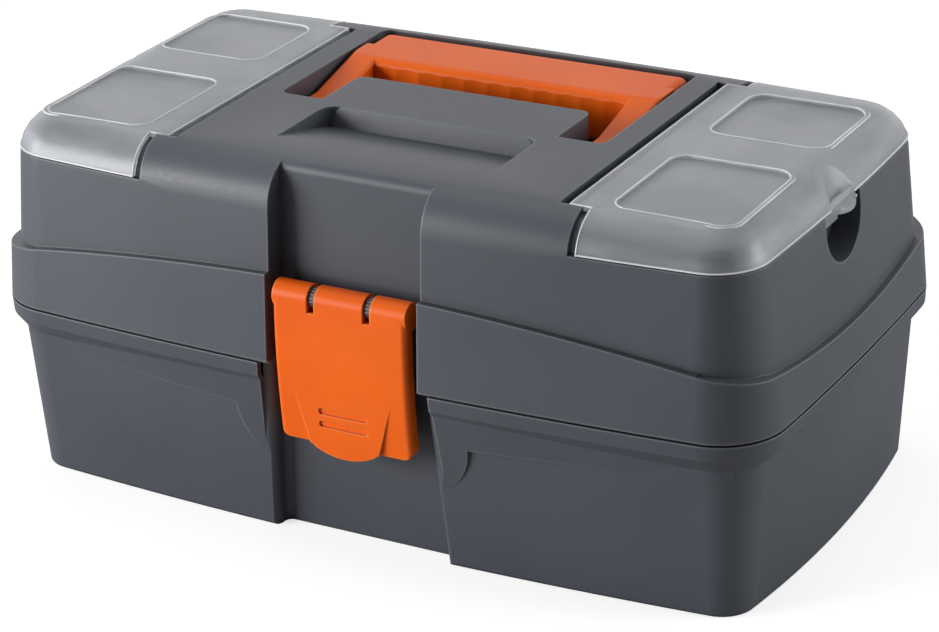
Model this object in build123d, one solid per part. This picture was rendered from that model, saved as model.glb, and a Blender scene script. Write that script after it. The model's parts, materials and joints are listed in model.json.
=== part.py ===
from build123d import *
from math import cos, radians, sin
import os

# Overall form: a rectangle in plan with bowed sides, drawn in below and above the seam.
# The origin is at the middle of the flat bottom, +X along the length, -Y to the latch side.
length = 320.0
depth = 182.0
height = 143.0
seam_height = 70.0
front_bow = 6.7
rear_bow = 3.6
end_bow = 2.5
seam_corner_radius = 24.8
wall = 2.4
running_gap = 0.4
overrun = 2.0
middle_share = 0.5
upright_share = 0.9
half_length = length / 2
half_depth = depth / 2

# Base tub, with drops measured down from the foot of its lip
foot_inset = 8.2
foot_end_reach = 1.3
foot_extra_bow = 3.8
rim_inset = 4.8
rim_extra_bow = 1.5
base_corner_radius = 21.0
lip_inset = 0.3
lip_height = 5.5
lip_slope_height = 6.0
foot_radius = 1.2
lip_foot = seam_height - lip_height
slope_foot = lip_foot - lip_slope_height
yoke_inset = 1.4
yoke_extra_bow = 4.2
yoke_end_margin = 14.0
yoke_fade_drop = 35.5
yoke_outer_drop = 10.0
yoke_inner_drop = 14.5
column_width = 17.0
column_foot_width = 6.0
column_foot_drop = 33.5
recess_half = 31.0
recess_flare = 4.5
base_recess_depth_top = 12.0
base_recess_depth_foot = 15.5
recess_edge_radius = 3.0
recess_mouth_radius = 4.0

# Rear hinges
hinge_place = 84.0
hinge_standoff = 4.0
knuckle_radius = 4.4
base_knuckle_length = 18.0
lid_knuckle_length = 10.0
hinge_web_height = 11.0
hinge_pin_diameter = 3.4
pin_gap = 0.1

# Lid, with the band's rises measured up from the seam
lid_inset_seam = 2.6
lid_inset_top = 7.0
top_edge_radius = 16.5
top_rear_run = 23.0
lid_corner_radius = 27.0
round_steps = 7
band_inset_top = 2.6
band_crown_rise = 34.8
band_corner_rise = 20.3
band_end_rise = 16.0
band_end_corner_rise = 26.0
band_end_reach = 25.0
seam_reveal = 0.9
reveal_depth = 1.3
band_hollow_height = 14.0
lid_recess_depth_seam = 13.0
lid_recess_depth_top = 17.0
recess_brow_radius = 4.5

# Organizer covers, from the ends and the top of the lid inwards
cover_length = 70.2
cover_wall = 1.8
skirt_height = 13.5
pad_gap = 3.2
flange_reach = 8.2
flange_setback = 22.6
flange_rear_setback = 31.2
groove_lead = 4.0
groove_run = 4.6
groove_depth = 8.0
cover_axis_inset = 1.6
cover_axis_drop = 3.6
cover_barrel_radius = 2.2
cover_stub_radius = 1.3
cover_stub_length = 2.2
window_near_margin = 4.7
window_far_margin = 19.6
window_front_margin = 25.6
window_rear_margin = 35.2
bridge_half = 11.5
window_depth = 1.5
window_wall = 1.2
window_radius = 7.0
thumb_radius = 20.0
thumb_depth = 3.2
thumb_lift = 1.6
tab_half = 13.5
tab_length = 7.8
tab_end_margin = 3.6
tab_drop = 2.2
tab_wall = 1.8
prong_half = 5.5
prong_drop = 9.0
prong_wall = 1.6
skirt_bottom = height - skirt_height
skirt_inner = half_length - cover_length
pad_side = skirt_inner - pad_gap
flange_inner = skirt_inner - flange_reach
flange_front = -half_depth + flange_setback
flange_rear = half_depth - flange_rear_setback
groove_inner = flange_inner - groove_lead
groove_outer = flange_inner + groove_run
groove_bottom = height - groove_depth
cover_axis_place = flange_inner + cover_axis_inset
cover_axis_height = height - cover_axis_drop
window_near = skirt_inner + window_near_margin
window_far = half_length - window_far_margin
window_front = -half_depth + window_front_margin
window_rear = half_depth - window_rear_margin
tab_reach = half_length - tab_end_margin
tab_root = tab_reach - tab_length

# Bins under the covers and the finger holes beside them
bin_near_margin = 1.7
bin_far_margin = 19.0
bin_end_margin = 23.5
bin_depth = 32.0
bin_radius = 6.0
finger_hole_half = 15.5
finger_hole_drop = 21.5
finger_hole_rise = 6.5
divider_wall = 1.6
divider_slot_depth = 1.5
divider_drop = 2.6
bin_near = skirt_inner + bin_near_margin
bin_far = half_length - bin_far_margin
bin_half = half_depth - bin_end_margin
bin_floor = height - bin_depth
finger_hole_bottom = skirt_bottom - finger_hole_drop
finger_hole_top = skirt_bottom + finger_hole_rise

# Carry handle and its pocket
handle_half = 65.6
arm_width = 11.5
arm_end_radius = 6.6
handle_reach = 68.9
handle_rear_margin = 28.2
handle_pivot_drop = 13.4
grip_depth = 31.0
grip_drop = 0.2
grip_radius = 4.0
grip_wall = 3.2
arm_edge_radius = 1.2
scallop_count = 11
scallop_radius = 32.0
scallop_depth = 0.35
trunnion_radius = 3.2
trunnion_length = 3.4
pocket_side_gap = 2.0
pocket_front_gap = 1.8
pocket_rear_gap = 2.5
pocket_floor_gap = 4.5
pocket_radius = 4.0
block_side_gap = 5.2
finger_gap = 18.8
handle_inner = handle_half - arm_width
grip_rear = half_depth - handle_rear_margin
grip_front = grip_rear - grip_depth
grip_top = height - grip_drop
handle_pivot_y = grip_rear - handle_reach
handle_pivot_height = height - handle_pivot_drop
grip_bottom = handle_pivot_height - arm_end_radius
pocket_half = handle_half + pocket_side_gap
pocket_front = handle_pivot_y - arm_end_radius - pocket_front_gap
pocket_rear = grip_rear + pocket_rear_gap
pocket_floor = grip_bottom - pocket_floor_gap
block_half = handle_inner - block_side_gap
block_rear = grip_front - finger_gap

# Shallow dish in the top of the lid
dish_half = 44.4
dish_front_margin = 37.0
dish_rear_gap = 4.1
dish_depth = 7.6
dish_wall_run = 2.6
dish_radius = 7.0
dish_front = -half_depth + dish_front_margin
dish_rear = pocket_front - dish_rear_gap

# Front latch, with heights measured from the seam and depths from the front of the box
latch_side_gap = 3.8
latch_axis_setback = 6.0
latch_axis_rise = 27.2
latch_barrel_radius = 5.3
latch_plate = 2.8
latch_edge_radius = 2.0
latch_mid_rise = 5.0
latch_foot_setback = 2.6
latch_foot_drop = 27.5
latch_corner_radius = 4.0
tongue_half = 12.4
tongue_step = 1.0
tongue_drop = 4.2
latch_side_depth = 5.4
latch_side_wall = 2.2
flare_setback = 0.3
flare_top_half = 21.5
flare_top_drop = 2.0
slot_place = 11.4
slot_width = 3.0
slot_drop = 3.6
lug_width = 2.4
lug_radius = 4.2
lug_gap = 0.5
lug_root_rise = 1.0
latch_pin_diameter = 3.2
latch_pin_margin = 3.2
grip_groove_half = 10.0
grip_groove_width = 2.4
grip_groove_depth = 0.7
grip_groove_drop = 14.0
grip_groove_pitch = 5.0
grip_groove_count = 2
hook_half = 16.0
hook_height = 3.0
hook_drop = 22.0
hook_setback = 8.4
hook_gap = 1.0
catch_gap = 0.6
catch_side_margin = 2.0
catch_height = 4.0
latch_half = recess_half - latch_side_gap
latch_axis_y = -half_depth + latch_axis_setback
latch_axis_height = seam_height + latch_axis_rise
latch_foot_front = half_depth - latch_foot_setback
latch_foot_height = seam_height - latch_foot_drop
latch_pin_half = latch_half - latch_pin_margin
flare_front = half_depth - flare_setback
hook_top = seam_height - hook_drop
hook_reach = half_depth - hook_setback
catch_bottom = hook_top + hook_gap
catch_half = hook_half + catch_side_margin
catch_reach = hook_reach - catch_gap

# Lift-out tray
tray_end_margin = 21.0
tray_side_margin = 24.0
tray_drop = 27.0
tray_height = 24.0
tray_wall = 1.8
tray_radius = 12.0
tray_taper = 2.0
tray_spine_rise = 14.0
tray_spine_half = 56.0
tray_spine_radius = 12.0
tray_grip_half = 34.0
tray_grip_height = 14.0
tray_grip_bar = 6.0
tray_bay_place = 46.0
shelf_place = 38.0
shelf_width = 4.0
shelf_hold = 6.0
tray_half_x = half_length - tray_end_margin
tray_half_y = half_depth - tray_side_margin
tray_bottom = seam_height - tray_drop
shelf_reach = tray_half_x - shelf_hold


def plan(inset, level, corner_radius=seam_corner_radius, rear_draw=0.0, end_reach=0.0, end_extra_bow=0.0,
         extra_bow=0.0):
    """Bowed outline drawn in by an inset, its rear side by a further draw, its ends let out by a reach."""
    half_x = half_length - inset + end_reach
    half_y = half_depth - inset
    rear_y = half_y - rear_draw
    corner_x = half_x - end_bow - end_extra_bow
    front_corner = -half_y + front_bow + extra_bow
    rear_corner = rear_y - rear_bow - extra_bow
    middle_y = (front_corner + rear_corner) / 2
    sides = [
        ThreePointArc((-corner_x, front_corner), (0, -half_y), (corner_x, front_corner)),
        ThreePointArc((corner_x, front_corner), (half_x, middle_y), (corner_x, rear_corner)),
        ThreePointArc((corner_x, rear_corner), (0, rear_y), (-corner_x, rear_corner)),
        ThreePointArc((-corner_x, rear_corner), (-half_x, middle_y), (-corner_x, front_corner)),
    ]
    face = make_face(sides)
    face = fillet(face.vertices(), corner_radius - inset)
    return Pos(0, 0, level) * face


def stack(levels, extra_bow=0.0):
    """Solid through bowed outlines, each given by its inset, its height and the further values of a plan."""
    return loft([plan(*level, extra_bow=extra_bow) for level in levels], ruled=True)


def block(x0, x1, y0, y1, z0, z1):
    return Pos((x0 + x1) / 2, (y0 + y1) / 2, (z0 + z1) / 2) * Box(x1 - x0, y1 - y0, z1 - z0)


def rounded_block(x0, x1, y0, y1, z0, z1, radius):
    solid = block(x0, x1, y0, y1, z0, z1)
    return fillet(solid.edges().filter_by(Axis.Z), radius)


def side_prism(outline, x0, x1):
    """Prism along X from an outline of (y, z) points."""
    face = make_face(Polyline(*outline, close=True))
    return Pos(x0, 0, 0) * extrude(Plane.YZ * face, x1 - x0)


def front_prism(face, y0, y1):
    """Prism along Y from a face drawn in x and z."""
    return Pos(0, y1, 0) * extrude(Plane.XZ * face, y1 - y0)


def x_cylinder(radius, x0, x1, y, z):
    return Pos((x0 + x1) / 2, y, z) * Rot(0, 90, 0) * Cylinder(radius, x1 - x0)


def y_cylinder(radius, y0, y1, x, z):
    return Pos(x, (y0 + y1) / 2, z) * Rot(90, 0, 0) * Cylinder(radius, y1 - y0)


def upper_form(inset):
    """Upper body of the lid with its rounded top edge, longer at the rear, drawn in by an inset all over."""
    radius = top_edge_radius - inset
    round_foot = height - top_edge_radius
    levels = [(lid_inset_seam + inset, seam_height, lid_corner_radius)]
    for step in range(round_steps + 1):
        angle = radians(90 * step / round_steps)
        run_share = 1 - cos(angle)
        levels.append((lid_inset_top + inset + radius * run_share, round_foot + radius * sin(angle),
                       lid_corner_radius, (top_rear_run - top_edge_radius) * run_share))
    return stack(levels)


def vertical_edges(solid):
    return solid.edges().filter_by(lambda edge: abs(edge.tangent_at(middle_share).Z) > upright_share)


def base_recess(grow=0.0):
    """Hollow behind the latch in the front of the base, wider and shallower at the bottom, with a round mouth."""
    front = -half_depth - overrun
    radius = recess_mouth_radius - grow
    sections = []
    for level in (-overrun, seam_height + 2 * overrun):
        rise_share = level / seam_height
        half = recess_half + recess_flare * (1 - rise_share) + grow
        cut = base_recess_depth_foot + (base_recess_depth_top - base_recess_depth_foot) * rise_share
        back = -half_depth + cut + grow
        mouth = -half_depth + foot_inset + (rim_inset - foot_inset) * level / slope_foot + grow
        sections.append(Pos(0, 0, level) * make_face([
            Line((-half, mouth + radius), (-half, back)),
            Line((-half, back), (half, back)),
            Line((half, back), (half, mouth + radius)),
            TangentArc((half, mouth + radius), (half + radius, mouth), tangent=(0, -1)),
            Polyline((half + radius, mouth), (half + radius, front), (-half - radius, front),
                     (-half - radius, mouth)),
            TangentArc((-half, mouth + radius), (-half - radius, mouth), tangent=(0, -1)),
        ]))
    tool = loft(sections, ruled=True)
    return fillet(vertical_edges(tool).group_by(Axis.Y)[-1], recess_edge_radius)


def yoke():
    """Proud band under the lip at the front, with a column each side of the recess."""
    fade = lip_foot - yoke_fade_drop
    fade_inset = foot_inset + (rim_inset - foot_inset) * fade / slope_foot
    form = stack([(fade_inset, fade, base_corner_radius), (yoke_inset, lip_foot, base_corner_radius)],
                 yoke_extra_bow)
    reach = half_length - yoke_end_margin
    outer = lip_foot - yoke_outer_drop
    inner = lip_foot - yoke_inner_drop
    foot = lip_foot - column_foot_drop
    half = recess_half + column_width
    foot_half = recess_half + column_foot_width
    outline = [
        Polyline((reach, outer), (reach, lip_foot), (-reach, lip_foot), (-reach, outer), (-half, inner)),
        TangentArc((-half, inner), (-foot_half, foot), tangent=(0, -1)),
        Line((-foot_half, foot), (foot_half, foot)),
        TangentArc((half, inner), (foot_half, foot), tangent=(0, -1)),
        Line((half, inner), (reach, outer)),
    ]
    return form & front_prism(make_face(outline), -half_depth, 0)


def knuckle(x0, x1, side):
    """Hinge barrel with its web on the rear wall, below the seam (side -1) or above it (side 1)."""
    axis_y = half_depth + hinge_standoff
    root_y = half_depth - rim_inset - wall
    near = seam_height + side * seam_reveal
    web = side_prism(
        [(root_y, near), (axis_y, near), (axis_y, seam_height + side * knuckle_radius),
         (root_y, seam_height + side * hinge_web_height)], x0, x1)
    return web + x_cylinder(knuckle_radius, x0, x1, axis_y, seam_height)


def hinge_bore(radius, x0, x1):
    return x_cylinder(radius, x0, x1, half_depth + hinge_standoff, seam_height)


def base_tub():
    foot_shape = (base_corner_radius, 0, foot_end_reach, foot_extra_bow)
    rim_shape = (base_corner_radius, 0, 0, rim_extra_bow)
    body = stack([(foot_inset, 0, *foot_shape), (rim_inset, slope_foot, *rim_shape),
                  (lip_inset, lip_foot), (0, seam_height)])
    body = fillet(body.edges().group_by(Axis.Z)[0], foot_radius)
    hollow = stack([(foot_inset + wall, wall, *foot_shape), (rim_inset + wall, slope_foot, *rim_shape),
                    (lip_inset + wall, lip_foot), (wall, seam_height), (wall, seam_height + overrun)])
    hollow -= base_recess(wall)
    for side in (-1, 1):
        for place in (-shelf_place, shelf_place):
            ends = sorted((side * shelf_reach, side * half_length))
            hollow -= block(*ends, place - shelf_width / 2, place + shelf_width / 2, 0, tray_bottom)
    half = base_knuckle_length / 2
    for place in (-hinge_place, hinge_place):
        body += knuckle(place - half, place + half, -1)
    body += yoke()
    body -= hollow
    body -= base_recess()
    body += block(-catch_half, catch_half, -catch_reach, -half_depth + base_recess_depth_foot + wall / 2,
                  catch_bottom, catch_bottom + catch_height)
    for place in (-hinge_place, hinge_place):
        body -= hinge_bore(hinge_pin_diameter / 2, place - half - overrun, place + half + overrun)
    return body


def hinge_pin(place):
    half = base_knuckle_length / 2 + lid_knuckle_length + running_gap
    return hinge_bore(hinge_pin_diameter / 2, place - half, place + half)


def band():
    """Proud band round the foot of the lid, arched over the latch and dipped at the ends."""
    top = seam_height + band_crown_rise + overrun
    ring = stack([(0, seam_height), (band_inset_top, top)])

    def above(half, corner_rise, middle_rise):
        corner = seam_height + corner_rise
        middle = seam_height + middle_rise
        return make_face([
            ThreePointArc((-half, corner), (0, middle), (half, corner)),
            Polyline((half, corner), (half, top + overrun), (-half, top + overrun), (-half, corner)),
        ])

    arch = above(half_length, band_corner_rise, band_crown_rise)
    dip = above(half_depth, band_end_corner_rise, band_end_rise)
    ring -= front_prism(arch, -half_depth, half_depth)
    end_cut = Pos(half_length - band_end_reach, 0, 0) * extrude(Plane.YZ * dip, band_end_reach)
    return ring - end_cut - mirror(end_cut, about=Plane.YZ)


def lid_recess(grow=0.0):
    """Hollow behind the latch in the front of the lid, with a rounded brow at the top."""
    front = -half_depth - overrun
    foot = seam_height - overrun
    brow = height - recess_brow_radius
    back_seam = -half_depth + lid_recess_depth_seam + grow
    back_top = -half_depth + lid_recess_depth_top + grow
    half = recess_half + grow
    outline = [
        Polyline((back_top, brow), (back_seam, foot), (front, foot), (front, height + overrun),
                 (back_top + recess_brow_radius, height + overrun), (back_top + recess_brow_radius, height)),
        TangentArc((back_top, brow), (back_top + recess_brow_radius, height), tangent=(0, 1)),
    ]
    face = make_face(outline)
    return Pos(-half, 0, 0) * extrude(Plane.YZ * face, 2 * half)


def handle_pocket(grow=0.0):
    """Space for the folded handle round the middle block of the lid's top."""
    half = pocket_half + grow
    space = rounded_block(-half, half, pocket_front - grow, pocket_rear + grow,
                          pocket_floor - grow, height + overrun, pocket_radius + grow)
    island = rounded_block(-block_half + grow, block_half - grow, pocket_front - wall - overrun,
                           block_rear - grow, pocket_floor - wall - overrun, height + 2 * overrun,
                           pocket_radius - grow)
    return space - island


def dish(grow=0.0):
    """Shallow dish whose floor rises to the front."""
    top = height + overrun
    low = height - dish_depth - grow
    outline = [(dish_rear + grow, top), (dish_rear + grow, height), (dish_rear - dish_wall_run + grow, low),
               (dish_front - grow, height - grow), (dish_front - grow, top)]
    tool = side_prism(outline, -dish_half - grow, dish_half + grow)
    return fillet(vertical_edges(tool).group_by(Axis.Y)[-1], dish_radius)


def cover_seat():
    """Room for the right-hand cover and its hinge lip, taken from the lid."""
    zone = block(pad_side, half_length, -half_depth, half_depth, skirt_bottom - running_gap, height + overrun)
    zone += block(groove_inner, pad_side + overrun, flange_front - running_gap, flange_rear + running_gap,
                  skirt_bottom - running_gap, height + overrun)
    zone -= upper_form(cover_wall + running_gap)
    return zone + hinge_groove() + thumb_dent(cover_wall + running_gap)


def hinge_groove(grow=0.0):
    gap = running_gap + grow
    return block(groove_inner - grow, groove_outer + grow, flange_front - gap, flange_rear + gap,
                 groove_bottom - grow, height + overrun)


def thumb_dent(grow=0.0):
    """Scoop down the middle of the cover's end, fading out below the top edge."""
    centre_x = half_length - lid_inset_top - top_edge_radius - thumb_depth
    centre_z = height - top_edge_radius + thumb_lift
    ring = Torus(top_edge_radius + thumb_radius, thumb_radius + grow)
    ring = Pos(centre_x, 0, centre_z) * Rot(90, 0, 0) * ring
    reach = top_edge_radius + overrun
    return ring & block(centre_x, centre_x + reach, -thumb_radius, thumb_radius,
                        skirt_bottom - running_gap, centre_z + reach)


def bin_space(grow=0.0):
    return rounded_block(bin_near - grow, bin_far + grow, -bin_half - grow, bin_half + grow,
                         bin_floor - grow, height + overrun, bin_radius + grow)


def finger_hole(grow=0.0):
    """U-shaped finger hole in the right-hand end of the lid, under the cover's tab."""
    radius = finger_hole_half + grow
    centre = finger_hole_bottom + finger_hole_half
    top = finger_hole_top + grow
    outline = [
        ThreePointArc((-radius, centre), (0, centre - radius), (radius, centre)),
        Polyline((radius, centre), (radius, top), (-radius, top), (-radius, centre)),
    ]
    start = bin_far + wall - grow
    return Pos(start, 0, 0) * extrude(Plane.YZ * make_face(outline), half_length - start)


def both(solid):
    return [solid, mirror(solid, about=Plane.YZ)]


def lug(place):
    """Ear on the lid that carries the latch pin."""
    x0 = place - lug_width / 2
    x1 = place + lug_width / 2
    ear = x_cylinder(lug_radius, x0, x1, latch_axis_y, latch_axis_height)
    root = -half_depth + lid_recess_depth_top + wall / 2
    return ear + block(x0, x1, latch_axis_y, root, latch_axis_height - slot_drop + lug_gap,
                       latch_axis_height + lug_root_rise)


def lid_shell():
    shell = upper_form(0) + band()
    shell -= stack([(-overrun, seam_height), (-overrun, seam_height + seam_reveal)]) - stack(
        [(reveal_depth, seam_height), (reveal_depth, seam_height + seam_reveal)])
    start = base_knuckle_length / 2 + running_gap
    for place in (-hinge_place, hinge_place):
        for side in (-1, 1):
            ends = sorted((place + side * start, place + side * (start + lid_knuckle_length)))
            shell += knuckle(*ends, 1)

    hollow = upper_form(wall)
    hollow += stack([(wall, seam_height),
                     (lid_inset_seam + wall, seam_height + band_hollow_height, lid_corner_radius)])
    hollow -= lid_recess(wall)
    hollow -= handle_pocket(wall)
    hollow -= dish(wall)
    for tool in (bin_space(wall), finger_hole(wall), hinge_groove(wall)):
        for copy in both(tool):
            hollow -= copy
    shell -= hollow

    shell -= lid_recess()
    shell -= handle_pocket()
    shell -= dish()
    for tool in (cover_seat(), bin_space(), finger_hole()):
        for copy in both(tool):
            shell -= copy

    slot_half = divider_wall / 2 + pin_gap
    slot = block(bin_near - divider_slot_depth, bin_far + divider_slot_depth, -slot_half, slot_half,
                 bin_floor, height)
    socket_reach = cover_stub_length + running_gap
    socket = y_cylinder(cover_stub_radius + pin_gap, flange_front - socket_reach,
                        flange_rear + socket_reach, cover_axis_place, cover_axis_height)
    trunnion = x_cylinder(trunnion_radius + pin_gap, pocket_half - overrun, pocket_half + wall + overrun,
                          handle_pivot_y, handle_pivot_height)
    for tool in (slot, socket, trunnion):
        for copy in both(tool):
            shell -= copy
    for place in (-slot_place, slot_place):
        shell += lug(place)
    shell -= x_cylinder(latch_pin_diameter / 2, -latch_pin_half, latch_pin_half,
                        latch_axis_y, latch_axis_height)
    reach = start + lid_knuckle_length + overrun
    for place in (-hinge_place, hinge_place):
        shell -= hinge_bore(hinge_pin_diameter / 2 + pin_gap, place - reach, place + reach)
    return shell


def latch_pin():
    return x_cylinder(latch_pin_diameter / 2, -latch_pin_half, latch_pin_half,
                      latch_axis_y, latch_axis_height)


def right_cover():
    form = upper_form(0)
    zone = block(skirt_inner, half_length, -half_depth, half_depth, skirt_bottom, height + overrun)
    zone += block(flange_inner, skirt_inner + overrun, flange_front, flange_rear, skirt_bottom,
                  height + overrun)
    cover = (form - upper_form(cover_wall)) & zone
    cover += (thumb_dent(cover_wall) & form) & zone
    cover -= thumb_dent()
    for front, rear in ((window_front, -bridge_half), (bridge_half, window_rear)):
        cover += rounded_block(window_near - window_wall, window_far + window_wall,
                               front - window_wall, rear + window_wall,
                               height - window_depth - window_wall, height - cover_wall / 2, window_radius)
        cover -= rounded_block(window_near, window_far, front, rear,
                               height - window_depth, height + overrun, window_radius)
    cover += y_cylinder(cover_barrel_radius, flange_front, flange_rear, cover_axis_place, cover_axis_height)
    cover += y_cylinder(cover_stub_radius, flange_front - cover_stub_length, flange_rear + cover_stub_length,
                        cover_axis_place, cover_axis_height)
    tab_top = skirt_bottom + tab_wall
    tab = make_face(Polyline((tab_root, tab_top), (tab_reach, tab_top - tab_drop),
                             (tab_reach, tab_top - tab_drop - tab_wall), (tab_root, skirt_bottom), close=True))
    lip = make_face([ThreePointArc((tab_root, -tab_half), (tab_reach, 0), (tab_root, tab_half)),
                     Line((tab_root, tab_half), (tab_root, -tab_half))])
    cover += front_prism(tab, -tab_half, tab_half) & extrude(lip, height)
    cover += block(tab_root - prong_wall, tab_root, -prong_half, prong_half,
                   skirt_bottom - prong_drop, skirt_bottom + tab_wall)
    return cover


def bin_divider():
    """Slip-in plate that splits the right-hand bin under the bridge between the windows."""
    reach = divider_slot_depth - pin_gap
    top = height - cover_wall - running_gap - divider_drop
    return block(bin_near - reach, bin_far + reach, -divider_wall / 2, divider_wall / 2, bin_floor, top)


def handle_arm():
    """Right arm of the handle, level by its pivot, then rising in a straight slope to the top of the grip."""
    arm_high = handle_pivot_height + arm_end_radius
    arm_rear = (grip_front + grip_rear) / 2
    side = make_face([
        ThreePointArc((handle_pivot_y, grip_bottom), (handle_pivot_y - arm_end_radius, handle_pivot_height),
                      (handle_pivot_y, arm_high)),
        Polyline((handle_pivot_y, arm_high), (handle_pivot_y + handle_pivot_drop, arm_high),
                 (grip_front + grip_radius, grip_top), (arm_rear, grip_top), (arm_rear, grip_bottom),
                 (handle_pivot_y, grip_bottom)),
    ])
    arm = Pos(handle_inner, 0, 0) * extrude(Plane.YZ * side, arm_width)
    rims = arm.edges().group_by(Axis.X)
    rims = [edge for group in (rims[0], rims[-1]) for edge in group if edge.center().Y < grip_front]
    return fillet(rims, arm_edge_radius)


def carry_handle():
    arm = handle_arm()
    arm += x_cylinder(trunnion_radius, handle_half - overrun, handle_half + trunnion_length,
                      handle_pivot_y, handle_pivot_height)
    grip = block(-handle_half, handle_half, grip_front, grip_rear, grip_bottom, grip_top)
    grip = fillet(grip.edges().filter_by(Axis.X), grip_radius)
    grip = fillet(vertical_edges(grip), grip_radius)
    grip -= block(-handle_inner, handle_inner, grip_front + grip_wall + scallop_depth, grip_rear - grip_wall,
                  grip_bottom - overrun, grip_top - grip_wall)
    pitch = 2 * handle_inner / scallop_count
    for index in range(scallop_count):
        x = -handle_inner + pitch * (index + middle_share)
        grip -= Pos(x, grip_front - scallop_radius + scallop_depth, (grip_bottom + grip_top) / 2) * Cylinder(
            scallop_radius, grip_top - grip_bottom + overrun)
    for copy in both(arm):
        grip += copy
    return grip


def front_latch():
    foot = latch_foot_height - tongue_drop
    plate_front = -latch_axis_y + latch_barrel_radius
    top = (-plate_front, latch_axis_height)
    middle = (-half_depth, seam_height + latch_mid_rise)
    bottom = (-latch_foot_front, foot - overrun)

    def slab(start, end, x0, x1):
        near = [(y + start, z) for y, z in (top, middle, bottom)]
        far = [(y + end, z) for y, z in (top, middle, bottom)]
        side = make_face([ThreePointArc(*near), Line(near[2], far[2]), ThreePointArc(*far), Line(far[0], near[0])])
        return Pos(x0, 0, 0) * extrude(Plane.YZ * side, x1 - x0)

    plate = slab(0, latch_plate, -latch_half, latch_half)
    ends = plate.edges().group_by(Axis.X)
    plate = fillet([group.sort_by(Axis.Y)[0] for group in (ends[0], ends[-1])], latch_edge_radius)
    for x0, x1 in ((-latch_half, -latch_half + latch_side_wall), (latch_half - latch_side_wall, latch_half)):
        plate += slab((latch_edge_radius + latch_plate) / 2, latch_side_depth, x0, x1)
    flare_top = seam_height - flare_top_drop
    flare = front_prism(make_face(Polyline(
        (-flare_top_half, flare_top), (flare_top_half, flare_top),
        (tongue_half, foot - overrun), (-tongue_half, foot - overrun), close=True)),
        -flare_front, -latch_foot_front + latch_plate / 2)
    plate += flare
    shoulder = latch_foot_height - tongue_step
    corner = latch_corner_radius
    trim = make_face([
        Polyline((latch_half, latch_foot_height + corner), (latch_half, height), (-latch_half, height),
                 (-latch_half, latch_foot_height + corner)),
        TangentArc((-latch_half, latch_foot_height + corner), (-latch_half + corner, latch_foot_height),
                   tangent=(0, -1)),
        Polyline((-latch_half + corner, latch_foot_height), (-tongue_half - tongue_step, latch_foot_height),
                 (-tongue_half, shoulder)),
        ThreePointArc((-tongue_half, shoulder), (0, foot), (tongue_half, shoulder)),
        Polyline((tongue_half, shoulder), (tongue_half + tongue_step, latch_foot_height),
                 (latch_half - corner, latch_foot_height)),
        TangentArc((latch_half, latch_foot_height + corner), (latch_half - corner, latch_foot_height),
                   tangent=(0, -1)),
    ])
    latch = plate & front_prism(trim, -half_depth - overrun, 0)
    latch += x_cylinder(latch_barrel_radius, -latch_half, latch_half, latch_axis_y, latch_axis_height)
    latch += block(-hook_half, hook_half, -latch_foot_front, -hook_reach, hook_top - hook_height, hook_top)
    for place in (-slot_place, slot_place):
        x0 = place - slot_width / 2
        x1 = place + slot_width / 2
        latch -= block(x0, x1, -half_depth - overrun, 0, latch_axis_height - slot_drop, height)
        latch -= x_cylinder(lug_radius + lug_gap, x0, x1, latch_axis_y, latch_axis_height)
    for index in range(grip_groove_count):
        level = seam_height - grip_groove_drop - grip_groove_pitch * index
        groove = Pos(0, 0, level) * Rot(90, 0, 0) * SlotOverall(2 * grip_groove_half, grip_groove_width)
        latch -= Pos(0, -flare_front - overrun, 0) * extrude(groove, -overrun - grip_groove_depth)
    latch -= x_cylinder(latch_pin_diameter / 2 + pin_gap, -latch_pin_half - pin_gap,
                        latch_pin_half + pin_gap, latch_axis_y, latch_axis_height)
    return latch


def tool_tray():
    """Lift-out tray with a lengthwise spine, a hand hole in it and three bays in front."""
    low_x = tray_half_x - tray_taper
    low_y = tray_half_y - tray_taper
    top = tray_bottom + tray_height

    def shape(inset, z0, z1):
        lower = RectangleRounded(2 * (low_x - inset), 2 * (low_y - inset), tray_radius - inset)
        upper = RectangleRounded(2 * (tray_half_x - inset), 2 * (tray_half_y - inset), tray_radius - inset)
        return loft([Pos(0, 0, z0) * lower, Pos(0, 0, z1) * upper], ruled=True)

    outer = shape(0, tray_bottom, top)
    tray = outer - shape(tray_wall, tray_bottom + tray_wall, top + overrun)
    half = tray_wall / 2
    walls = block(-tray_half_x, tray_half_x, -half, half, tray_bottom, top)
    for place in (-tray_bay_place, tray_bay_place):
        walls += block(place - half, place + half, -tray_half_y, 0, tray_bottom, top)
    tray += walls & outer
    crown = top + tray_spine_rise
    rise = block(-tray_spine_half, tray_spine_half, -half, half, top - tray_spine_rise, crown)
    rise = fillet(rise.edges().filter_by(Axis.Y).group_by(Axis.Z)[-1], tray_spine_radius)
    tray += rise
    hole = block(-tray_grip_half, tray_grip_half, -tray_wall, tray_wall,
                 crown - tray_grip_bar - tray_grip_height, crown - tray_grip_bar)
    return tray - fillet(hole.edges().filter_by(Axis.Y), tray_grip_bar)


def main():
    os.makedirs("parts", exist_ok=True)
    cover = right_cover()
    divider = bin_divider()
    pieces = {
        "base_tub": base_tub(),
        "left_hinge_pin": hinge_pin(-hinge_place),
        "right_hinge_pin": hinge_pin(hinge_place),
        "lid_shell": lid_shell(),
        "latch_pin": latch_pin(),
        "front_latch": front_latch(),
        "carry_handle": carry_handle(),
        "right_cover": cover,
        "left_cover": mirror(cover, about=Plane.YZ),
        "right_bin_divider": divider,
        "left_bin_divider": mirror(divider, about=Plane.YZ),
        "tool_tray": tool_tray(),
    }
    for name, solid in pieces.items():
        export_step(solid, f"parts/{name}.step")


if __name__ == "__main__":
    main()
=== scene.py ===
import bmesh
import bpy
import json
import math
from mathutils import Matrix, Vector


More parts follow.
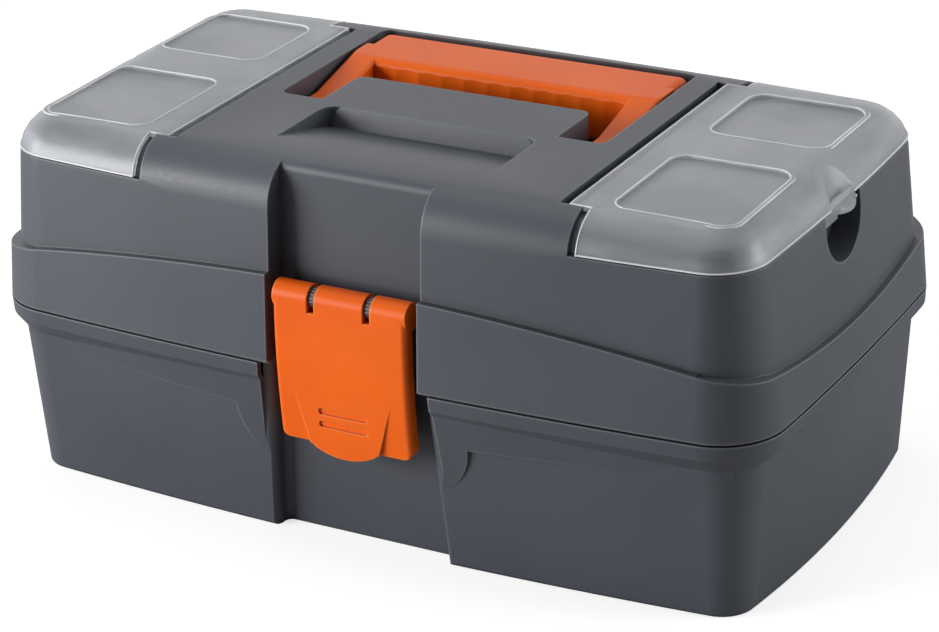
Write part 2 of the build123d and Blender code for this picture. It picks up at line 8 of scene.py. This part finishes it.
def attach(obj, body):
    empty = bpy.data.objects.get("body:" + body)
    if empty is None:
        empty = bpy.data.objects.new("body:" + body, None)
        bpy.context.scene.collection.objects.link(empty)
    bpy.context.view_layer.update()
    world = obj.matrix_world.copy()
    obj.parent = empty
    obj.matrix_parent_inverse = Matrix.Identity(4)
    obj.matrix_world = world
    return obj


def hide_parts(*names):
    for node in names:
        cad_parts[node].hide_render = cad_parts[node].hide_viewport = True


mm = 0.001

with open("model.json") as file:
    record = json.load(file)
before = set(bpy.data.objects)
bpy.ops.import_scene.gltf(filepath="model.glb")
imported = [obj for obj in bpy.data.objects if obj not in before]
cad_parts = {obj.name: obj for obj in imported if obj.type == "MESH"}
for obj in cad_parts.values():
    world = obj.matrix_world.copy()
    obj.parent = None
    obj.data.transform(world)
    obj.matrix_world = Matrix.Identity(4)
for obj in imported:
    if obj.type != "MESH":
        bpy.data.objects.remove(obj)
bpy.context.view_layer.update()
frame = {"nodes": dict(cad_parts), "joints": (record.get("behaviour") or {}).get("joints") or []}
nodes = frame["nodes"]
joints = {joint["name"]: joint for joint in frame["joints"]}


def hexColor(code):
    channels = [int(code[i:i + 2], 16) / 255 for i in (1, 3, 5)]
    linear = [c / 12.92 if c <= 0.04045 else ((c + 0.055) / 1.055) ** 2.4 for c in channels]
    return (*linear, 1.0)


def addNode(tree, kind, inputs=None, **settings):
    node = tree.nodes.new(kind)
    for name, value in settings.items():
        setattr(node, name, value)
    for name, value in (inputs or {}).items():
        if isinstance(value, bpy.types.NodeSocket):
            tree.links.new(value, node.inputs[name])
        else:
            node.inputs[name].default_value = value
    return node


def newMaterial(name):
    material = bpy.data.materials.new(name)
    material.use_nodes = True
    material.node_tree.nodes.clear()
    return material, material.node_tree


def newGeometryTree(name, sockets):
    tree = bpy.data.node_groups.new(name, "GeometryNodeTree")
    for socket, kind in sockets.items():
        tree.interface.new_socket(socket, in_out="INPUT", socket_type="NodeSocket" + kind)
    tree.interface.new_socket("Geometry", in_out="OUTPUT", socket_type="NodeSocketGeometry")
    return tree, addNode(tree, "NodeGroupInput").outputs


def endGeometryTree(tree, geometry, material):
    solid = addNode(tree, "GeometryNodeRealizeInstances", {"Geometry": geometry})
    dressed = addNode(tree, "GeometryNodeSetMaterial", {"Geometry": solid.outputs[0], "Material": material})
    addNode(tree, "NodeGroupOutput", {"Geometry": dressed.outputs[0]})


def grownMesh(name, mesh, tree, given):
    maker = bpy.data.objects.new(name + "Maker", mesh)
    bpy.context.scene.collection.objects.link(maker)
    modifier = maker.modifiers.new(name, "NODES")
    modifier.node_group = tree
    for socket in tree.interface.items_tree:
        if socket.name in given:
            modifier[socket.identifier] = given[socket.name]
    grown = bpy.data.meshes.new_from_object(maker.evaluated_get(bpy.context.evaluated_depsgraph_get()))
    maker.modifiers.remove(modifier)
    bpy.data.objects.remove(maker)
    grown.name = name
    return grown


def addPiece(name, mesh, body):
    piece = bpy.data.objects.new(name, mesh)
    bpy.context.scene.collection.objects.link(piece)
    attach(piece, body)
    return piece


# Camera at the photograph's viewing angle, on a long lens
cameraSettings = {
    "target": (0, 0, 60 * mm),
    "azimuth": 29.592,
    "elevation": 23.907,
    "roll": -2.157,
    "distance": 1206.1 * mm,
    "lens": 122.343,
    "sensor": 36.0,
    "shift": (0.00521, -0.00527),
}


def makeCamera(s):
    azimuth, elevation, roll = (math.radians(s[key]) for key in ("azimuth", "elevation", "roll"))
    back = Vector((math.sin(azimuth) * math.cos(elevation), -math.cos(azimuth) * math.cos(elevation),
                   math.sin(elevation)))
    right = Vector((math.cos(azimuth), math.sin(azimuth), 0))
    up = back.cross(right)
    side = right * math.cos(roll) + up * math.sin(roll)
    top = up * math.cos(roll) - right * math.sin(roll)
    data = bpy.data.cameras.new("camera")
    data.lens = s["lens"]
    data.sensor_width = s["sensor"]
    data.shift_x, data.shift_y = s["shift"]
    camera = bpy.data.objects.new("camera", data)
    place = Vector(s["target"]) + back * s["distance"]
    camera.matrix_world = Matrix((side, top, back)).transposed().to_4x4()
    camera.location = place
    bpy.context.scene.collection.objects.link(camera)
    bpy.context.scene.camera = camera


makeCamera(cameraSettings)
print("camera placed")

# White tent with a dark flag round the camera, a soft box overhead, one low on the left, one on the right
studioSettings = {
    "ambient": 0.16,
    "backdrop": 1.0,
    "floorSize": 1.8,
    "floorGlow": 0.69,
    "floorColor": "#d4d4d4",
    "flagDistance": 0.95,
    "flagSize": (1.1, 1.3),
    "flagColor": "#202224",
    "lamps": {
        "overhead": {"place": (-0.1, 0.3, 1.5), "size": (1.4, 1.0), "power": 4.5},
        "leftBox": {"place": (-1.35, -1.15, 0.45), "size": (1.2, 0.8), "power": 35.0},
        "rightBox": {"place": (1.4, 0.6, 0.5), "size": (1.0, 0.8), "power": 13.0},
    },
}


def makeSheet(name, width, length, place, material):
    mesh = bpy.data.meshes.new(name)
    corners = [(x * width / 2, y * length / 2, 0) for x, y in ((-1, -1), (1, -1), (1, 1), (-1, 1))]
    mesh.from_pydata(corners, [], [(0, 1, 2, 3)])
    mesh.transform(place)
    mesh.materials.append(material)
    sheet = bpy.data.objects.new(name, mesh)
    bpy.context.scene.collection.objects.link(sheet)
    return sheet


def makeTent(s):
    world = bpy.data.worlds.new("tent")
    bpy.context.scene.world = world
    world.use_nodes = True
    tree = world.node_tree
    tree.nodes.clear()
    rays = addNode(tree, "ShaderNodeLightPath")
    shown = addNode(tree, "ShaderNodeMath", {
        0: rays.outputs["Is Camera Ray"], 1: rays.outputs["Is Glossy Ray"]}, operation="ADD", use_clamp=True)
    seen = addNode(tree, "ShaderNodeMath", {
        0: shown.outputs[0], 1: rays.outputs["Is Transmission Ray"]}, operation="ADD", use_clamp=True)
    level = addNode(tree, "ShaderNodeMapRange", {
        "Value": seen.outputs[0], "To Min": s["ambient"], "To Max": s["backdrop"]})
    background = addNode(tree, "ShaderNodeBackground", {"Color": (1, 1, 1, 1), "Strength": level.outputs[0]})
    addNode(tree, "ShaderNodeOutputWorld", {"Surface": background.outputs[0]})


def makeFloor(s):
    material, tree = newMaterial("paper_floor")
    rays = addNode(tree, "ShaderNodeLightPath")
    paper = addNode(tree, "ShaderNodeBsdfDiffuse", {"Color": hexColor(s["floorColor"])})
    glow = addNode(tree, "ShaderNodeEmission", {"Strength": s["floorGlow"]})
    lit = addNode(tree, "ShaderNodeAddShader", {0: paper.outputs[0], 1: glow.outputs[0]})
    mixed = addNode(tree, "ShaderNodeMixShader", {
        0: rays.outputs["Is Camera Ray"], 1: paper.outputs[0], 2: lit.outputs[0]})
    addNode(tree, "ShaderNodeOutputMaterial", {"Surface": mixed.outputs[0]})
    makeSheet("floor", s["floorSize"], s["floorSize"], Matrix.Identity(4), material)


def makeFlag(s):
    material, tree = newMaterial("black_flag")
    cloth = addNode(tree, "ShaderNodeBsdfDiffuse", {"Color": hexColor(s["flagColor"])})
    addNode(tree, "ShaderNodeOutputMaterial", {"Surface": cloth.outputs[0]})
    turn = bpy.context.scene.camera.matrix_world.to_3x3()
    middle = Vector(cameraSettings["target"]) + turn.col[2] * s["flagDistance"]
    flag = makeSheet("flag", *s["flagSize"], Matrix.Translation(middle) @ turn.to_4x4(), material)
    flag.visible_camera = False


def makeLamps(s):
    for name, lamp in s["lamps"].items():
        data = bpy.data.lights.new(name, "AREA")
        data.shape = "RECTANGLE"
        data.size, data.size_y = lamp["size"]
        data.energy = lamp["power"]
        light = bpy.data.objects.new(name, data)
        place = Vector(lamp["place"])
        aim = Vector(cameraSettings["target"]) - place
        light.rotation_euler = aim.to_track_quat("-Z", "Y").to_euler()
        light.location = place
        bpy.context.scene.collection.objects.link(light)


bpy.context.scene.view_settings.view_transform = "Standard"
makeTent(studioSettings)
makeFloor(studioSettings)
makeFlag(studioSettings)
makeLamps(studioSettings)
print("studio lit")

# What both dyed plastics share, such as how far cloud, grain, edge lightening and painted crease shade reach
# into the colour
mouldSettings = {
    "ior": 1.49,
    "rays": 6,
    "detail": 2.0,
    "cloudSpread": (0.35, 0.65),
    "grainSpread": (0.3, 0.7),
    "rubAndHighlightSpread": (0.9, 0.45),
    "paintedShadeSpread": (0.75, 0.3),
    "grainStrength": 0.6,
}

# Polypropylene moulded in a spark-eroded mould: a fine even grain that spreads the gloss into a soft sheen,
# edges a shade lighter, partly wear from handling and partly a painted highlight, and painted shade
# darkening the creases. The real grain is about 0.1 mm, too fine to show, so it is drawn coarser.
greySettings = {
    **mouldSettings,
    "light": "#4c5058",
    "dark": "#464a52",
    # lighter edge colour: partly rubbed wear, partly a painted highlight
    "edge": "#7b7e84",
    # painted shade: the colour creases are darkened towards
    "paintedShade": "#1e2127",
    "paintedShadeWidth": 2.6 * mm,
    "round": 0.6 * mm,
    "rubAndHighlightReach": 0.9 * mm,
    "specular": 0.5,
    "roughness": (0.40, 0.50),
    "grain": 0.7 * mm,
    "grainHeight": 0.02 * mm,
    "cloud": 70 * mm,
}


def mouldedPolypropylene(name, s):
    material, tree = newMaterial(name)
    place = addNode(tree, "ShaderNodeTexCoord").outputs["Object"]
    cloud, grain = (addNode(tree, "ShaderNodeTexNoise", {
        "Vector": place, "Scale": 1 / s[size], "Detail": s["detail"]}) for size in ("cloud", "grain"))
    tone = addNode(tree, "ShaderNodeValToRGB", {"Fac": cloud.outputs["Fac"]})
    for stop, position, shade in zip(tone.color_ramp.elements, s["cloudSpread"], ("dark", "light")):
        stop.position = position
        stop.color = hexColor(s[shade])
    # Edges painted lighter by an inside occlusion mask: partly rubbed wear, partly a painted highlight
    edge = addNode(tree, "ShaderNodeAmbientOcclusion", {"Distance": s["rubAndHighlightReach"]}, samples=s["rays"],
                   inside=True, only_local=True)
    # Painted shade: where this occlusion finds creases and corners, the colour darkens towards the crease
    # colour
    paintedShade = addNode(tree, "ShaderNodeAmbientOcclusion", {"Distance": s["paintedShadeWidth"]}, samples=s["rays"])
    color = tone.outputs["Color"]
    for found, spread, shade in ((edge, "rubAndHighlightSpread", "edge"), (paintedShade, "paintedShadeSpread", "paintedShade")):
        share = addNode(tree, "ShaderNodeMapRange", {
            "Value": found.outputs["AO"], "From Min": s[spread][0], "From Max": s[spread][1]})
        mixed = addNode(tree, "ShaderNodeMix", {
            "Factor": share.outputs[0], "A": color, "B": hexColor(s[shade])}, data_type="RGBA")
        color = mixed.outputs["Result"]
    sheen = addNode(tree, "ShaderNodeMapRange", {
        "Value": grain.outputs["Fac"], "From Min": s["grainSpread"][0], "From Max": s["grainSpread"][1],
        "To Min": s["roughness"][0], "To Max": s["roughness"][1]})
    rounded = addNode(tree, "ShaderNodeBevel", {"Radius": s["round"]}, samples=s["rays"])
    bump = addNode(tree, "ShaderNodeBump", {
        "Height": grain.outputs["Fac"], "Distance": s["grainHeight"], "Strength": s["grainStrength"],
        "Normal": rounded.outputs[0]})
    shader = addNode(tree, "ShaderNodeBsdfPrincipled", {
        "Base Color": color, "Roughness": sheen.outputs[0], "IOR": s["ior"],
        "Specular IOR Level": s["specular"], "Normal": bump.outputs[0]})
    addNode(tree, "ShaderNodeOutputMaterial", {"Surface": shader.outputs[0]})
    return material


# The same plastic dyed orange, from a smoother mould, so it is glossier
orangeSettings = {
    **mouldSettings,
    "light": "#ff6d0a",
    "dark": "#f86504",
    # lighter edge colour: partly rubbed wear, partly a painted highlight
    "edge": "#ff8a36",
    # painted shade: the colour creases are darkened towards
    "paintedShade": "#b23a00",
    "paintedShadeWidth": 1.6 * mm,
    "round": 0.8 * mm,
    "rubAndHighlightReach": 0.9 * mm,
    "specular": 0.3,
    "roughness": (0.36, 0.44),
    "grain": 0.6 * mm,
    "grainHeight": 0.012 * mm,
    "cloud": 45 * mm,
}

# Undyed polypropylene, frosted by its crystals: milky, blurring what lies under it, with faint flow streaks
clearSettings = {
    "milk": "#e2e5ea",
    "thin": "#ced2d8",
    "round": 0.4 * mm,
    "rays": 6,
    "flow": (30 * mm, 30 * mm, 5 * mm),
    "flowSpread": (0.38, 0.62),
    "flowDetail": 3.0,
    "ior": 1.49,
    "roughness": 0.36,
    "transmission": 0.80,
    "grain": 1.2 * mm,
    "grainHeight": 0.02 * mm,
    "grainDetail": 2.0,
    "grainStrength": 0.5,
}


def frostedPolypropylene(name, s):
    material, tree = newMaterial(name)
    place = addNode(tree, "ShaderNodeTexCoord").outputs["Object"]
    grain = addNode(tree, "ShaderNodeTexNoise", {
        "Vector": place, "Scale": 1 / s["grain"], "Detail": s["grainDetail"]})
    stretched = addNode(tree, "ShaderNodeMapping", {
        "Vector": place, "Scale": [1 / size for size in s["flow"]]})
    flow = addNode(tree, "ShaderNodeTexNoise", {
        "Vector": stretched.outputs[0], "Scale": 1.0, "Detail": s["flowDetail"]})
    streaks = addNode(tree, "ShaderNodeMapRange", {
        "Value": flow.outputs["Fac"], "From Min": s["flowSpread"][0], "From Max": s["flowSpread"][1]})
    color = addNode(tree, "ShaderNodeMix", {
        "Factor": streaks.outputs[0], "A": hexColor(s["thin"]), "B": hexColor(s["milk"])}, data_type="RGBA")
    rounded = addNode(tree, "ShaderNodeBevel", {"Radius": s["round"]}, samples=s["rays"])
    bump = addNode(tree, "ShaderNodeBump", {
        "Height": grain.outputs["Fac"], "Distance": s["grainHeight"], "Strength": s["grainStrength"],
        "Normal": rounded.outputs[0]})
    shader = addNode(tree, "ShaderNodeBsdfPrincipled", {
        "Base Color": color.outputs["Result"], "Roughness": s["roughness"], "IOR": s["ior"],
        "Transmission Weight": s["transmission"], "Normal": bump.outputs[0]})
    addNode(tree, "ShaderNodeOutputMaterial", {"Surface": shader.outputs[0]})
    return material


# Drawn steel wire: fine lines along its length stretch the highlight
steelSettings = {
    "color": "#b9bbbe",
    "roughness": (0.22, 0.42),
    "line": 0.15 * mm,
    "stretch": 40.0,
}


def drawnSteel(name, s):
    material, tree = newMaterial(name)
    place = addNode(tree, "ShaderNodeTexCoord").outputs["Object"]
    turned = addNode(tree, "ShaderNodeMapping", {"Vector": place, "Scale": (1 / s["stretch"], 1, 1)})
    lines = addNode(tree, "ShaderNodeTexNoise", {"Vector": turned.outputs[0], "Scale": 1 / s["line"]})
    gloss = addNode(tree, "ShaderNodeMapRange", {
        "Value": lines.outputs["Fac"], "To Min": s["roughness"][0], "To Max": s["roughness"][1]})
    shader = addNode(tree, "ShaderNodeBsdfPrincipled", {
        "Base Color": hexColor(s["color"]), "Metallic": 1.0, "Roughness": gloss.outputs[0]})
    addNode(tree, "ShaderNodeOutputMaterial", {"Surface": shader.outputs[0]})
    return material


greyPlastic = mouldedPolypropylene("grey_moulded_polypropylene", greySettings)
orangePlastic = mouldedPolypropylene("orange_moulded_polypropylene", orangeSettings)
clearPlastic = frostedPolypropylene("frosted_polypropylene", clearSettings)
pinSteel = drawnSteel("drawn_steel_wire", steelSettings)

# The same undyed plastic at a moulded edge, painted nearly white: a painted highlight along the rims
rimHighlightSettings = {
    **clearSettings,
    "milk": "#fbfcfd",
    "thin": "#eef0f2",
    "transmission": 0.1,
    "roughness": 0.3,
}
clearRimHighlight = frostedPolypropylene("frosted_polypropylene_rim_highlight", rimHighlightSettings)
print("materials made")

# Moulded pieces: each CAD shell is copied, merged and shaded smooth up to its real edges.
# A row holds the name of the piece, the body it rides on, its slot and its material.
mouldedPieces = {
    "base_tub": ("tub", "base", "grey_pp", greyPlastic),
    "lid_shell": ("lid", "lid", "grey_pp", greyPlastic),
    "tool_tray": ("tray", "tray", "tray_pp", greyPlastic),
    "front_latch": ("latch", "latch", "orange_pp", orangePlastic),
    "carry_handle": ("handle", "handle", "orange_pp", orangePlastic),
    "left_cover": ("leftCover", "cover_left", "clear_pp", clearPlastic),
    "right_cover": ("rightCover", "cover_right", "clear_pp", clearPlastic),
    "left_bin_divider": ("leftDivider", "lid", "clear_pp", clearPlastic),
    "right_bin_divider": ("rightDivider", "lid", "clear_pp", clearPlastic),
}
copySettings = {
    "merge": 0.005 * mm,
    "stepsAbove": 125 * mm,
    "stepCosine": 0.94,
    "flatTop": 142.9 * mm,
    "sink": 0.2 * mm,
    "sunk": ("left_cover", "right_cover"),
}


# The rounding of the top comes in steps, so its corner normals are averaged over nearly level neighbours
def softenSteps(mesh, normals, s):
    around = {}
    for face in mesh.polygons:
        for vertex in face.vertices:
            around.setdefault(vertex, []).append(face)
    for face in mesh.polygons:
        for corner, vertex in zip(face.loop_indices, face.vertices):
            if mesh.vertices[vertex].co.z < s["stepsAbove"]:
                continue
            near = [other for other in around[vertex] if other.normal.dot(face.normal) > s["stepCosine"]]
            normals[corner] = sum((other.normal * other.area for other in near), Vector()).normalized()


def mergedCopy(name, node, s):
    mesh = nodes[node].data.copy()
    mesh.name = name
    shading = mesh.attributes.new("shading", "FLOAT_VECTOR", "CORNER")
    shading.data.foreach_set("vector", [value for normal in mesh.corner_normals for value in normal.vector])
    bm = bmesh.new()
    bm.from_mesh(mesh)
    bmesh.ops.remove_doubles(bm, verts=bm.verts, dist=s["merge"])
    for face in bm.faces:
        face.smooth = True
        face.material_index = 0
    bm.to_mesh(mesh)
    bm.free()
    normals = [Vector(corner.vector) for corner in mesh.attributes["shading"].data]
    mesh.attributes.remove(mesh.attributes["shading"])
    softenSteps(mesh, normals, s)
    mesh.normals_split_custom_set(normals)
    return mesh


def makeMoulded(node, name, body, slot, material, s):
    mesh = mergedCopy(name, node, s)
    if node in s["sunk"]:
        for vertex in mesh.vertices:
            if vertex.co.z > s["flatTop"]:
                vertex.co.z -= s["sink"]  # the covers' flat top lies just under their beaded rims
    mesh.materials.clear()
    mesh.materials.append(material)
    piece = addPiece(name, mesh, body)
    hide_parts(node)
    return piece


for node, row in mouldedPieces.items():
    piece = makeMoulded(node, *row, copySettings)
    print("moulded:", piece.name, len(piece.data.polygons), "faces")

for node in ("left_hinge_pin", "right_hinge_pin", "latch_pin"):
    nodes[node].data.materials.clear()
    nodes[node].data.materials.append(pinSteel)
print("pins dressed")

# Cross teeth on the two ears that carry the latch: small bars round each ear, seen through the slots
teethSettings = {
    "Ear place": 11.4 * mm,
    "Arc radius": 4.15 * mm,
    "Arc start": math.radians(175),
    "Arc sweep": math.radians(90),
    "Teeth": 6,
    "Tooth radius": 0.36 * mm,
    "Tooth length": 2.2 * mm,
    "Sides": 10,
}


def teethTree(s, material):
    kinds = {name: "Int" if isinstance(value, int) else "Float" for name, value in s.items()}
    tree, given = newGeometryTree("ear_teeth", {**kinds, "Axis": "Vector"})
    acrossAxis = (0, math.pi / 2, 0)
    arc = addNode(tree, "GeometryNodeCurveArc", {
        "Resolution": given["Teeth"], "Radius": given["Arc radius"], "Start Angle": given["Arc start"],
        "Sweep Angle": given["Arc sweep"]})
    upright = addNode(tree, "GeometryNodeTransform", {
        "Geometry": arc.outputs["Curve"], "Rotation": acrossAxis})
    spots = addNode(tree, "GeometryNodeCurveToPoints", {"Curve": upright.outputs[0]}, mode="EVALUATED")
    bar = addNode(tree, "GeometryNodeMeshCylinder", {
        "Vertices": given["Sides"], "Radius": given["Tooth radius"], "Depth": given["Tooth length"]})
    lying = addNode(tree, "GeometryNodeTransform", {"Geometry": bar.outputs["Mesh"], "Rotation": acrossAxis})
    row = addNode(tree, "GeometryNodeInstanceOnPoints", {
        "Points": spots.outputs["Points"], "Instance": lying.outputs[0]})
    reach = addNode(tree, "ShaderNodeMath", {0: given["Ear place"], 1: -1.0}, operation="MULTIPLY")
    span = addNode(tree, "ShaderNodeMath", {0: given["Ear place"], 1: 2.0}, operation="MULTIPLY")
    first = addNode(tree, "ShaderNodeCombineXYZ", {"X": reach.outputs[0]})
    step = addNode(tree, "ShaderNodeCombineXYZ", {"X": span.outputs[0]})
    start = addNode(tree, "ShaderNodeVectorMath", {0: first.outputs[0], 1: given["Axis"]}, operation="ADD")
    ears = addNode(tree, "GeometryNodeMeshLine", {
        "Count": 2, "Start Location": start.outputs[0], "Offset": step.outputs[0]})
    both = addNode(tree, "GeometryNodeInstanceOnPoints", {
        "Points": ears.outputs["Mesh"], "Instance": row.outputs["Instances"]})
    endGeometryTree(tree, both.outputs["Instances"], material)
    return tree


latchAxis = tuple(joints["latch_hinge"]["pos_m"])
teethMesh = grownMesh("earTeeth", bpy.data.meshes.new("teethMaker"), teethTree(teethSettings, greyPlastic),
                      {**teethSettings, "Axis": latchAxis})
teeth = addPiece("earTeeth", teethMesh, "lid")
print("ear teeth:", len(teeth.data.polygons), "faces")

# Rounded rims of the covers: a fine bead follows the sharp edges of the top, the outer foot of the skirt and
# the upright corners at the inner end
rimSettings = {
    "top": 143 * mm,
    "rimFrom": 138 * mm,
    "rimSink": 0.14 * mm,
    "upward": 0.55,
    "foot": 129.5 * mm,
    "footBand": 0.15 * mm,
    "sharp": math.radians(35),
    "outward": 0.3,
    "inner": 0.9,
}
beadSettings = {
    "Merge": 0.005 * mm,
    "Bead radius": 0.34 * mm,
    "Sides": 8,
}


def rimLift(edge, s, radius):
    normals = [face.normal for face in edge.link_faces]
    heights = [vertex.co.z for vertex in edge.verts]
    middle = (edge.verts[0].co + edge.verts[1].co) / 2
    away = Vector((middle.x, middle.y, 0)).normalized()
    outward = max(normal.dot(away) for normal in normals)
    inner = max(-math.copysign(normal.x, normal.x * middle.x) for normal in normals)
    frontal = max(math.copysign(normal.y, normal.y * middle.y) for normal in normals)
    isRim = min(heights) > s["rimFrom"] and max(normal.z for normal in normals) > s["upward"]
    isFoot = max(abs(height - s["foot"]) for height in heights) < s["footBand"]
    isSide = inner > s["inner"] and frontal > s["outward"] and min(heights) > s["foot"] - s["footBand"]
    if isRim:
        return -s["rimSink"]
    if isFoot and outward > s["outward"]:
        return radius
    return 0 if isSide else None


def rimPath(name, node, s, bead):
    radius = bead["Bead radius"]
    bm = bmesh.new()
    bm.from_mesh(nodes[node].data)
    bmesh.ops.remove_doubles(bm, verts=bm.verts, dist=bead["Merge"])
    points = []
    edges = []
    for edge in bm.edges:
        if len(edge.link_faces) != 2 or edge.calc_face_angle_signed() < s["sharp"]:
            continue
        lift = rimLift(edge, s, radius)
        if lift is None:
            continue
        edges.append((len(points), len(points) + 1))
        for vertex in edge.verts:
            place = vertex.co.copy()
            place.z = min(place.z + lift, s["top"] - radius)
            points.append(place)
    bm.free()
    mesh = bpy.data.meshes.new(name)
    mesh.from_pydata(points, edges, [])
    return mesh


def beadTree(material):
    tree, given = newGeometryTree("rim_bead", {
        "Geometry": "Geometry", "Bead radius": "Float", "Sides": "Int", "Merge": "Float"})
    joined = addNode(tree, "GeometryNodeMergeByDistance", {
        "Geometry": given["Geometry"], "Distance": given["Merge"]})
    path = addNode(tree, "GeometryNodeMeshToCurve", {"Mesh": joined.outputs[0]})
    ring = addNode(tree, "GeometryNodeCurvePrimitiveCircle", {
        "Resolution": given["Sides"], "Radius": given["Bead radius"]})
    bead = addNode(tree, "GeometryNodeCurveToMesh", {
        "Curve": path.outputs[0], "Profile Curve": ring.outputs[0], "Fill Caps": True})
    endGeometryTree(tree, bead.outputs[0], material)
    return tree


# The rim beads carry the nearly white colour, a painted highlight along the covers' rims
rimTree = beadTree(clearRimHighlight)
for name, node, body in (("leftRims", "left_cover", "cover_left"),
                         ("rightRims", "right_cover", "cover_right")):
    path = rimPath(name, node, rimSettings, beadSettings)
    bead = grownMesh(name, path, rimTree, beadSettings)
    for face in bead.polygons:
        face.use_smooth = True
    rims = addPiece(name, bead, body)
    print("rims:", rims.name, len(rims.data.polygons), "faces")
